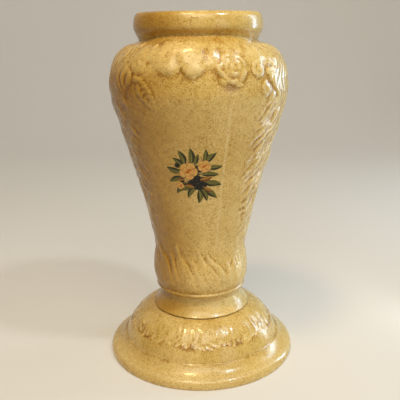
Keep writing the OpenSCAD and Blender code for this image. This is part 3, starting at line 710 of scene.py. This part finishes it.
def vase_piece(material):
    """The vase casting as one closed skin: foot hollow, spigot, stem, relief, lip, chamber and floor."""
    hollow_r, hollow_z = SPIGOT_R - VASE_WALL, FLOOR_Z - FLOOR_T
    skin = Skin(VASE_POOL_AND_LIGHT)
    skin.pole(hollow_z)
    skin.plain(
        COARSE_TURNS,
        spaced([(hollow_r, hollow_z), (hollow_r, SPIGOT_Z + EDGE)], 8),
        spaced([(hollow_r + EDGE, SPIGOT_Z), (SPIGOT_R - EDGE, SPIGOT_Z)], 3),
        spaced([(SPIGOT_R, SPIGOT_Z + EDGE), (SPIGOT_R, SEAT_Z)], 3))
    half = BEAD_T / 2
    around = np.radians(np.linspace(-80, 60, 9))
    bead = np.stack([BEAD_R - half + half * np.cos(around), BEAD_Z + half * np.sin(around)], axis=1)
    skin.plain(
        FINE_TURNS,
        spaced([(SPIGOT_R + EDGE, SEAT_Z), (COLLAR_R - 0.3, SEAT_Z)], 8),
        [(COLLAR_R, SEAT_Z + 0.25), (COLLAR_R, SEAT_Z + COLLAR_T - 0.2)],
        swept((COLLAR_R - 0.25, SEAT_Z + COLLAR_T + 0.1, 142), (STEM_R, STEM_Z, UP), (0.35, 0.35), 2.5),
        swept((STEM_R, STEM_Z, UP), (BEAD_R - half, BEAD_Z - half, 20), (0.35, 0.35), 1.5),
        bead)
    rows = graded([(0.8, 1), (ARC_WAIST, 1.4), (ARC_WAIST + 40, 2.1), (ARC_SHOULDER - 40, 1.8),
                   (ARC_SHOULDER, 1.3), (ARC_THROAT - 20, 1.3), (ARC_THROAT, 1.7)])
    skin.ornamented(rows, OUTLINE, vase_relief, stain_and_painted_light)
    lip_top = ((LIP_R + MOUTH_R) / 2, TOP_Z, INWARDS)
    skin.plain(
        FINE_TURNS,
        swept((THROAT_R, THROAT_Z, 74), (LIP_R, LIP_Z, UP), (0.40, 0.40), 1.5)[1:],
        swept((LIP_R, LIP_Z, UP), lip_top, (0.38, 0.38), 1.9)[1:],
        swept(lip_top, (MOUTH_R, LIP_Z, DOWN), (0.38, 0.38), 3)[1:])
    chamber = (SHOULDER_R - VASE_WALL, SHOULDER_Z, DOWN)
    well = (BULB_R - VASE_WALL - BEAD_T, FLOOR_Z + FLOOR_T, DOWN)
    skin.plain(
        COARSE_TURNS,
        spaced([(MOUTH_R, LIP_Z - 2), (MOUTH_R, THROAT_Z - VASE_WALL)], 8),
        swept((MOUTH_R, THROAT_Z - VASE_WALL, DOWN), chamber, (0.12, 0.40), 7)[1:],
        swept(chamber, (WAIST_R - VASE_WALL, WAIST_Z, 266), (0.12, 0.32), 12)[1:],
        swept((WAIST_R - VASE_WALL, WAIST_Z, DOWN), well, (0.38, 0.38), 8)[1:],
        swept(well, (hollow_r, FLOOR_Z, INWARDS), (0.38, 0.38), 3)[1:])
    skin.pole(FLOOR_Z)
    skin.rings = [climbed(points) for points in skin.rings]
    return skin.piece("vase_casting", material)


def pedestal_piece(material):
    """The pedestal casting as one closed skin: socket, crown, leafy dome, flange, foot and underside."""
    socket_z = CROWN_H - SOCKET_DEPTH
    ceiling_z = socket_z - PEDESTAL_WALL
    skin = Skin(PEDESTAL_POOL)
    skin.pole(socket_z)
    skin.plain(
        COARSE_TURNS,
        spaced([(SOCKET_R - EDGE, socket_z), (SOCKET_R - 0.1, socket_z)], 2, close_ends=0),
        spaced([(SOCKET_R, socket_z + EDGE), (SOCKET_R, CROWN_H - EDGE)], 3))
    skin.plain(FINE_TURNS, spaced([(SOCKET_R + EDGE, CROWN_H), (CROWN_R - 0.8, CROWN_H)], 4))
    rows = graded([(0.5, 0.8), (8, 1.2), (ARC_DOME - 4, 1), (ARC_DOME - 0.2, 0.6)])
    skin.ornamented(rows, DOME, dome_relief, dome_stain)
    arris, rest_r = (ARRIS_R, ARRIS_H, 332), FOOT_R - FOOT_EDGE_H / 2
    skin.plain(
        FINE_TURNS,
        swept((CREASE_R, CREASE_H, 302), arris, (0.40, 0.40), 1.6),
        swept(arris, (FOOT_R, FOOT_EDGE_H, DOWN), (0.40, 0.40), 1.3)[1:],
        [(FOOT_R, FOOT_EDGE_H), (FOOT_R - 0.15, 1.2), (FOOT_R - 0.5, 0.5), (rest_r, 0)])
    inner_r = FOOT_R - PEDESTAL_WALL
    under_r, under_z = CREASE_R - PEDESTAL_WALL, CREASE_H - PEDESTAL_WALL / 2
    ceiling = (SOCKET_R + PEDESTAL_WALL, ceiling_z, INWARDS)
    skin.plain(
        COARSE_TURNS,
        spaced([(rest_r - EDGE, 0), (inner_r + EDGE, 0)], 3),
        swept((inner_r, EDGE, 152), (under_r, under_z, 122), (0.4, 0.4), 3),
        swept((under_r, under_z, 108), ceiling, (0.30, 0.38), 4)[1:],
        [(SOCKET_R - 8, ceiling_z)])
    skin.pole(ceiling_z)
    return skin.piece("pedestal_casting", material)


# Transfer print: a posy of blossoms, leaves and berries laid on the belly
PRINT_W, PRINT_H = 65, 74
HALF_W, HALF_H = PRINT_W / 2, PRINT_H / 2
PRINT_Z, PRINT_TURN = WAIST_Z + 99, -5
# Heights of the layers over the plain outline, where leaves and berries also climb by a step each
TWIG_LIFT = 0.14
LEAF_LIFT, LEAF_STEP = TWIG_LIFT + 0.02, 0.004
BERRY_LIFT, BERRY_STEP = TWIG_LIFT + 0.12, 0.002
RUST_LIFT, BLOSSOM_LIFT, HEART_LIFT = TWIG_LIFT + 0.17, TWIG_LIFT + 0.18, TWIG_LIFT + 0.20
BERRY_R, TWIG_REACH = 0.085 * HALF_W, 0.2 * HALF_W
PETAL_CORE, PETAL_MID, PETAL_RIM = (0.26, 0.045, 0.005), (0.58, 0.19, 0.02), (0.68, 0.38, 0.10)
LEAF_DARK, LEAF_SAGE, LEAF_VEIN = (0.012, 0.013, 0.003), (0.16, 0.15, 0.022), (0.40, 0.34, 0.11)
RUST_DARK, RUST = (0.10, 0.022, 0.003), (0.46, 0.19, 0.015)
BERRY, BERRY_LIGHT, TWIG = (0.003, 0.003, 0.002), (0.06, 0.045, 0.03), (0.030, 0.015, 0.006)
# Leaves as (across, up, turn, length), blossoms as (across, up, radius, petals) and berries as (across, up),
# with lengths in shares of half the print
LEAF_SHARES = [
    (-0.26, 0.34, 112, 0.56), (-0.30, 0.26, 136, 0.50), (-0.38, 0.14, 164, 0.52), (-0.34, -0.04, 200, 0.50),
    (-0.28, -0.18, 236, 0.52), (-0.06, 0.38, 92, 0.56), (0.06, 0.36, 72, 0.40), (0.34, 0.44, 80, 0.46),
    (0.42, 0.40, 46, 0.50), (0.48, 0.26, 6, 0.46), (0.44, 0.14, -14, 0.40), (0.38, -0.20, -10, 0.54),
    (0.34, -0.36, -44, 0.56), (0.16, -0.42, -92, 0.50), (0.24, -0.42, -68, 0.46), (0.00, -0.14, 216, 0.60),
    (-0.04, -0.24, 184, 0.50), (0.24, -0.12, -22, 0.56), (0.04, -0.32, 238, 0.48), (0.26, 0.06, -4, 0.44),
    (0.14, -0.26, -62, 0.46), (0.10, 0.02, 160, 0.40), (0.02, -0.06, 250, 0.44)]
RUST_SHARES = [
    (0.20, -0.10, 12, 0.42), (0.02, -0.34, 168, 0.34), (0.30, -0.32, -34, 0.34), (-0.30, -0.10, 176, 0.26)]
BLOSSOM_SHARES = [(-0.16, 0.17, 0.31, 5), (0.36, 0.32, 0.22, 5), (-0.44, -0.30, 0.13, 4)]
BERRY_SHARES = [
    (0.24, -0.30), (0.10, -0.24), (0.18, -0.36), (0.32, -0.34), (0.36, -0.24), (0.26, -0.18), (0.12, -0.12),
    (-0.02, -0.24), (0.08, -0.34), (0.18, -0.24), (0.00, -0.14), (0.16, -0.04), (0.28, -0.08), (0.10, 0.28),
    (0.20, 0.20), (-0.38, -0.12), (-0.10, -0.18), (-0.52, 0.34), (0.04, -0.02)]


class Sheet:
    """Small coloured patches that share one mesh, each laid on the belly at its own lift."""

    def __init__(self):
        self.verts, self.faces, self.tints = [], [], []

    def lay(self, x, y, lift, tint):
        """Adds a patch, from grids of places across and up from the print's middle."""
        rows, columns = x.shape
        first = len(self.verts)
        z = PRINT_Z + y
        r = np.interp(z, OUTLINE[:, 1], OUTLINE[:, 0]) + lift
        a = np.arcsin(x / r) + math.radians(PRINT_TURN)
        self.verts += np.stack([r * np.sin(a), -r * np.cos(a), z], axis=-1).reshape(-1, 3).tolist()
        self.tints += np.concatenate([tint, np.ones(x.shape + (1,))], axis=-1).reshape(-1, 4).tolist()
        for i in range(rows - 1):
            for j in range(columns - 1):
                k = first + i * columns + j
                self.faces.append((k, k + 1, k + columns + 1, k + columns))


def blend(share, *colours):
    """A colour between several, for a share from 0 to 1."""
    colours = np.array(colours)
    at = np.clip(share, 0, 1) * (len(colours) - 1)
    low = np.clip(np.floor(at).astype(int), 0, len(colours) - 2)
    part = (at - low)[..., None]
    return colours[low] * (1 - part) + colours[low + 1] * part


def print_leaf(sheet, place, heading, length, lift, dark=LEAF_DARK, light=LEAF_SAGE):
    """A pointed leaf, dark on one side of its pale midrib and light on the other."""
    u, v = np.meshgrid(np.linspace(0, 1, 15), np.linspace(-1, 1, 13), indexing="ij")
    half = 0.19 * length * np.sin(np.pi * u ** 0.9) ** 0.9
    # The sine of the bare heading is as good as random: each leaf bows in its own way
    bow = 0.10 * length * math.sin(heading) * np.sin(np.pi * u)
    along, across = length * u, half * v + bow
    c, s = direction(heading)
    veins = 0.5 + 0.5 * cosine(6 * u - 1.1 * np.abs(v))
    tint = blend(np.where(v > 0, 0.55 + 0.45 * veins, 0.22 * veins), dark, light)
    rib = (np.exp(-(v / 0.13) ** 2) * (1 - u))[..., None]
    rim = (np.abs(v) > 0.86)[..., None]
    tint = np.where(rim, np.array(dark), tint * (1 - rib) + np.array(LEAF_VEIN) * rib)
    sheet.lay(place[0] + along * c - across * s, place[1] + along * s + across * c, lift, tint)


def disc(rings, columns):
    """Shares of the radius and angles for a round patch."""
    return np.meshgrid(np.linspace(0, 1, rings), np.linspace(0, 2 * np.pi, columns), indexing="ij")


def print_blossom(sheet, place, radius, petals, lift):
    """Petals that shade from a deep heart to a pale rim, parted by thin dark lines."""
    d, a = disc(12, 73)
    fan = np.abs(np.cos(0.5 * petals * a + 0.4))
    rim = radius * (0.80 + 0.20 * fan ** 0.5)
    curl = np.cos(0.5 * petals * a + 0.4 + 3 * d)
    tint = blend(d + 0.22 * curl, PETAL_CORE, PETAL_MID, PETAL_RIM, PETAL_RIM)
    line = (np.exp(-(fan / 0.16) ** 2) * (d > 0.3))[..., None] * 0.8
    tint = tint * (1 - line) + np.array(PETAL_CORE) * 0.5 * line
    edge = (d > 0.95)[..., None] * 0.6
    tint = tint * (1 - edge) + np.array(TWIG) * edge
    sheet.lay(place[0] + rim * d * np.cos(a), place[1] + rim * d * np.sin(a), lift, tint)


def print_berry(sheet, place, radius, lift):
    """A dark berry with a gleam at its upper left."""
    d, a = disc(5, 17)
    x, y = d * np.cos(a), d * np.sin(a)
    gleam = np.exp(-(((x + 0.35) ** 2 + (y - 0.35) ** 2) / 0.12))
    sheet.lay(place[0] + radius * x, place[1] + radius * y, lift, blend(gleam, BERRY, BERRY_LIGHT))


def print_twig(sheet, start, end, width):
    """A thin stroke that bows to one side and narrows towards its end."""
    u, v = np.meshgrid(np.linspace(0, 1, 9), np.array([-1, 1]), indexing="ij")
    (x0, y0), (x1, y1) = start, end
    reach = math.hypot(x1 - x0, y1 - y0)
    nx, ny = -(y1 - y0) / reach, (x1 - x0) / reach
    off = 0.08 * reach * np.sin(np.pi * u) + 0.5 * width * v * (1 - 0.5 * u)
    tint = np.broadcast_to(np.array(TWIG), u.shape + (3,))
    sheet.lay(x0 + (x1 - x0) * u + nx * off, y0 + (y1 - y0) * u + ny * off, TWIG_LIFT, tint)


def print_piece(material):
    """The posy, laid at the same places as the film in the CAD model."""
    sheet = Sheet()
    for x, y, turn, _ in LEAF_SHARES:
        x, y = x * HALF_W, y * HALF_H
        c, s = direction(turn + 30)
        print_twig(sheet, (0.05 * HALF_W, 0), (x, y), 0.9)
        print_twig(sheet, (x, y), (x + TWIG_REACH * c, y + TWIG_REACH * s), 0.6)
    for k, (x, y, turn, share) in enumerate(LEAF_SHARES):
        print_leaf(sheet, (x * HALF_W, y * HALF_H), turn, share * HALF_W, LEAF_LIFT + LEAF_STEP * k)
    for k, (x, y) in enumerate(BERRY_SHARES):
        print_berry(sheet, (x * HALF_W, y * HALF_H), BERRY_R, BERRY_LIFT + BERRY_STEP * k)
    for x, y, turn, share in RUST_SHARES:
        print_leaf(sheet, (x * HALF_W, y * HALF_H), turn, share * HALF_W, RUST_LIFT, RUST_DARK, RUST)
    for x, y, share, petals in BLOSSOM_SHARES:
        for size, count, lift in ((1, petals, BLOSSOM_LIFT), (0.6, petals - 1, HEART_LIFT)):
            print_blossom(sheet, (x * HALF_W, y * HALF_H), size * share * HALF_W, count, lift)
    points, tints = np.array(sheet.verts) * MM, np.array(sheet.tints)
    return smooth_mesh("posy_print", points, sheet.faces, material, tint=tints)


# Materials

class Nodes:
    """Short calls for building the node tree of a material or the world."""

    def __init__(self, block, shader="Principled BSDF"):
        block.use_nodes = True
        self.block, self.tree = block, block.node_tree
        self.shader = self.tree.nodes[shader]

    def plug(self, socket, value):
        """Links the value where it is another node's output, and sets it as a constant where it isn't."""
        if isinstance(value, bpy.types.NodeSocket):
            self.tree.links.new(value, socket)
        else:
            socket.default_value = value

    def set(self, **values):
        """Fills inputs of the shader, whose names take _ for a space."""
        for key, value in values.items():
            self.plug(self.shader.inputs[key.replace("_", " ")], value)

    def add(self, kind, inputs=(), **settings):
        node = self.tree.nodes.new(kind)
        for key, value in settings.items():
            setattr(node, key, value)
        for key, value in dict(inputs).items():
            self.plug(node.inputs[key], value)
        return node

    def stored(self, label, output="Fac"):
        """A number or colour stored at the mesh's points."""
        return self.add("ShaderNodeAttribute", attribute_name=label).outputs[output]

    def place(self):
        return self.add("ShaderNodeTexCoord").outputs["Object"]

    def noise(self, scale, detail=3, rough=0.55):
        inputs = {"Vector": self.place(), "Scale": scale, "Detail": detail, "Roughness": rough}
        return self.add("ShaderNodeTexNoise", inputs).outputs["Fac"]

    def span(self, value, low, high, to_low=0, to_high=1):
        """A smooth step of the value between two levels."""
        inputs = {"Value": value, "From Min": low, "From Max": high, "To Min": to_low, "To Max": to_high}
        return self.add("ShaderNodeMapRange", inputs, interpolation_type="SMOOTHSTEP").outputs[0]

    def math(self, operation, a, b):
        return self.add("ShaderNodeMath", {0: a, 1: b}, operation=operation).outputs[0]

    def times(self, a, b):
        return self.math("MULTIPLY", a, b)

    def mix(self, share, a, b, blend="MIX"):
        node = self.add("ShaderNodeMix", data_type="RGBA", blend_type=blend, clamp_factor=True)
        for socket, value in zip([s for s in node.inputs if s.enabled], (share, a, b)):
            self.plug(socket, value)
        return next(s for s in node.outputs if s.enabled)

    def bump(self, height, strength, distance, **under):
        inputs = {"Height": height, "Strength": strength, "Distance": distance, **under}
        return self.add("ShaderNodeBump", inputs).outputs[0]

    def seen(self, glossy):
        """1 for camera and transmission rays, a share for glossy ones, and 0 for those that carry light."""
        path = self.add("ShaderNodeLightPath").outputs
        direct = self.math("MAXIMUM", path["Is Camera Ray"], path["Is Transmission Ray"])
        return self.math("MAXIMUM", direct, self.times(path["Is Glossy Ray"], glossy))


def speckle(n, scale, size, share):
    """Round specks: cells of a Voronoi pattern, of which only a share carry a speck."""
    cells = n.add("ShaderNodeTexVoronoi", {"Vector": n.place(), "Scale": scale, "Randomness": 1})
    near = n.span(cells.outputs["Distance"], size, size * 0.45)
    chosen = n.add("ShaderNodeSeparateColor", {"Color": cells.outputs["Color"]}).outputs[0]
    return n.times(near, n.span(chosen, share, share - 0.02))


# Linear colours of the glaze, and the tint that paints shade on its left side, partly as a deeper amber glaze
# there
CREAM, PALE, HONEY = (0.73, 0.515, 0.18, 1), (0.84, 0.67, 0.36, 1), (0.60, 0.395, 0.095, 1)
AMBER, BROWN, UMBER = (0.42, 0.205, 0.012, 1), (0.23, 0.09, 0.008, 1), (0.15, 0.052, 0.005, 1)
LEFT_SHADE_TINT = (0.60, 0.43, 0.07, 1)


def glaze(name, left_shade_strength):
    """Honey glaze over cream: amber in the hollows, partly painted shade, mottling, brown specks, painted
    shade on the left side and a wet, rippled gloss.
    """
    n = Nodes(bpy.data.materials.new(name))
    pool, left = n.stored("pool"), n.stored("left")
    # Noise by scale, detail and roughness, from drifts to fine grain
    drift = n.noise(13, 3, 0.6)
    patch = n.noise(55, 4, 0.65)
    cloud = n.noise(210, 3, 0.7)
    grain = n.noise(620, 3, 0.75)
    deep = n.math("ADD", pool, n.times(n.math("SUBTRACT", patch, 0.5), 0.9))
    freckled = n.span(n.math("ADD", n.times(pool, 0.8), n.times(patch, 0.5)), 0.50, 0.92)
    fine = speckle(n, scale=560, size=0.36, share=0.18)
    large = speckle(n, scale=210, size=0.20, share=0.12)
    specks = n.math("MAXIMUM", fine, large)
    # Layers of colour from the ground up, as (where, how strongly, colour)
    ground = [
        (n.span(deep, 0.52, 1), 0.80, AMBER),
        (n.span(pool, 0.68, 1), 0.60, BROWN),
        (n.span(pool, 0.42, 0.10), 0.32, PALE),
        (n.span(cloud, 0.50, 0.64), n.span(freckled, 0, 1, 0.22, 0.85), AMBER),
        (n.span(grain, 0.52, 0.66), n.span(freckled, 0, 1, 0.50, 0.92), BROWN),
        (n.span(grain, 0.48, 0.34), 0.50, PALE)]
    base = n.mix(n.span(drift, 0.34, 0.64), CREAM, HONEY)
    for where, strength, colour in ground:
        base = n.mix(n.times(where, strength), base, colour)
    # Painted shade: the left side is darkened to amber, partly as a deeper glaze
    base = n.mix(n.times(left, left_shade_strength), base, LEFT_SHADE_TINT, "MULTIPLY")
    base = n.mix(n.times(specks, n.span(freckled, 0, 1, 0.55, 0.95)), base, UMBER)
    ripple = n.bump(n.noise(60, 2, 0.5), strength=0.35, distance=0.0014)
    n.set(Base_Color=base, Roughness=n.span(n.noise(90), 0.3, 0.75, 0.20, 0.36))
    n.set(Normal=n.bump(n.noise(420, 3, 0.65), strength=0.35, distance=0.0003, Normal=ripple))
    n.set(Coat_Weight=0.25, Coat_Roughness=0.06, IOR=1.43)
    return n.block


def print_film():
    """Printed colours under a clear gloss, a little worn."""
    n = Nodes(bpy.data.materials.new("print_film"))
    wear = n.times(n.span(n.noise(900, 3, 0.7), 0.58, 0.72), 0.15)
    colour = n.mix(wear, n.stored("tint", "Color"), (0.36, 0.24, 0.09, 1))
    n.set(Base_Color=colour, Roughness=0.30, Specular_IOR_Level=0.3)
    return n.block


def felt():
    """Pressed brown felt."""
    n = Nodes(bpy.data.materials.new("felt"))
    fibres = n.noise(900, 4, 0.7)
    n.set(Base_Color=n.mix(fibres, (0.20, 0.115, 0.05, 1), (0.34, 0.22, 0.11, 1)), Roughness=0.95)
    n.set(Normal=n.bump(fibres, strength=0.6, distance=0.0003))
    return n.block


PAPER, PAPER_GLOW, SKY = (0.80, 0.74, 0.65, 1), 0.38, (0.86, 0.79, 0.68, 1)


def backdrop_paper():
    """Matt paper. Camera, glossy and transmission rays see part of it as evenly lit, and its shadows stay."""
    n = Nodes(bpy.data.materials.new("backdrop_paper"))
    tint = n.mix(n.noise(3), PAPER, [c * 0.97 for c in PAPER[:3]] + [1])
    n.set(Base_Color=tint, Roughness=0.9, Specular_IOR_Level=0.1)
    even = n.add("ShaderNodeEmission", {"Color": tint, "Strength": 1}).outputs[0]
    shares = {0: n.times(n.seen(glossy=1), PAPER_GLOW), 1: n.shader.outputs[0], 2: even}
    mixed = n.add("ShaderNodeMixShader", shares).outputs[0]
    n.tree.links.new(mixed, n.tree.nodes["Material Output"].inputs["Surface"])
    return n.block


# Studio, in metres and watts, with its lamps as (name, place, aim, size, power, colour)
LAMPS = [
    ("top_left", (-0.30, -0.50, 1.60), (0, 0, 0.1), (0.25, 0.25), 9.5, (1, 0.77, 0.42)),
    ("top_front", (0, -1.05, 1.35), (0, 0, 0.2), (1.10, 0.70), 10.2, (1, 0.96, 0.80)),
    ("top_right", (0.66, -0.50, 1.40), (0, 0, 0.25), (0.12, 0.12), 8, (0.80, 0.91, 1)),
    ("right_front", (0.80, -1.00, 0.50), (0, 0, 0.22), (0.5, 0.8), 2, (1, 0.98, 0.94)),
    ("window", (1.18, 0.50, 0.52), (0, 0, 0.24), (0.24, 0.90), 8, (0.56, 0.77, 1)),
    ("sill", (0.36, 0.06, 0.10), (0, 0, 0.25), (0.04, 0.18), 0.16, (0.80, 0.91, 1))]


def lamp(name, place, aim, size, power, colour):
    """A rectangular lamp that the camera doesn't see."""
    light = bpy.data.lights.new(name, "AREA")
    light.shape = "RECTANGLE"
    light.size, light.size_y = size
    light.energy, light.color = power, colour
    holder = linked(name, light)
    holder.location = place
    holder.rotation_euler = (Vector(aim) - Vector(place)).to_track_quat("-Z", "Y").to_euler()
    holder.visible_camera = False


def studio():
    """A pale floor that curves up into a backdrop, lamps overhead and at the right, and a dim room."""
    half_width, front, back, bend, top = 4, -3, 2, 0.8, 3.5
    rows = [(front, 0)]
    for a in np.linspace(0, math.pi / 2, 12):
        rows.append((back - bend + bend * math.sin(a), bend - bend * math.cos(a)))
    rows.append((back, top))
    verts = [(x, y, z) for y, z in rows for x in (-half_width, half_width)]
    faces = [(2 * i, 2 * i + 1, 2 * i + 3, 2 * i + 2) for i in range(len(rows) - 1)]
    floor = smooth_mesh("backdrop", verts, faces, backdrop_paper())
    for settings in LAMPS:
        lamp(*settings)
    room = Nodes(bpy.data.worlds.new("room"), "Background")
    glow = {"Value": room.seen(glossy=0.4), "To Min": 0.05, "To Max": 0.75}
    room.set(Color=SKY, Strength=room.add("ShaderNodeMapRange", glow).outputs[0])
    bpy.context.scene.world = room.block


camera()
# The second number sets how strongly painted shade darkens the left side of each casting
vase = vase_piece(glaze("vase_glaze", left_shade_strength=0.85))
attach(vase, "vase")
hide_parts("vase_body")
pedestal = pedestal_piece(glaze("pedestal_glaze", left_shade_strength=0.12))
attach(pedestal, "pedestal")
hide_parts("pedestal_base")
posy = print_piece(print_film())
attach(posy, "vase")
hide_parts("transfer_print")
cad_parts["bedding_ring"].data.materials.clear()
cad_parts["bedding_ring"].data.materials.append(felt())
studio()
bpy.context.scene.view_settings.view_transform = "Standard"
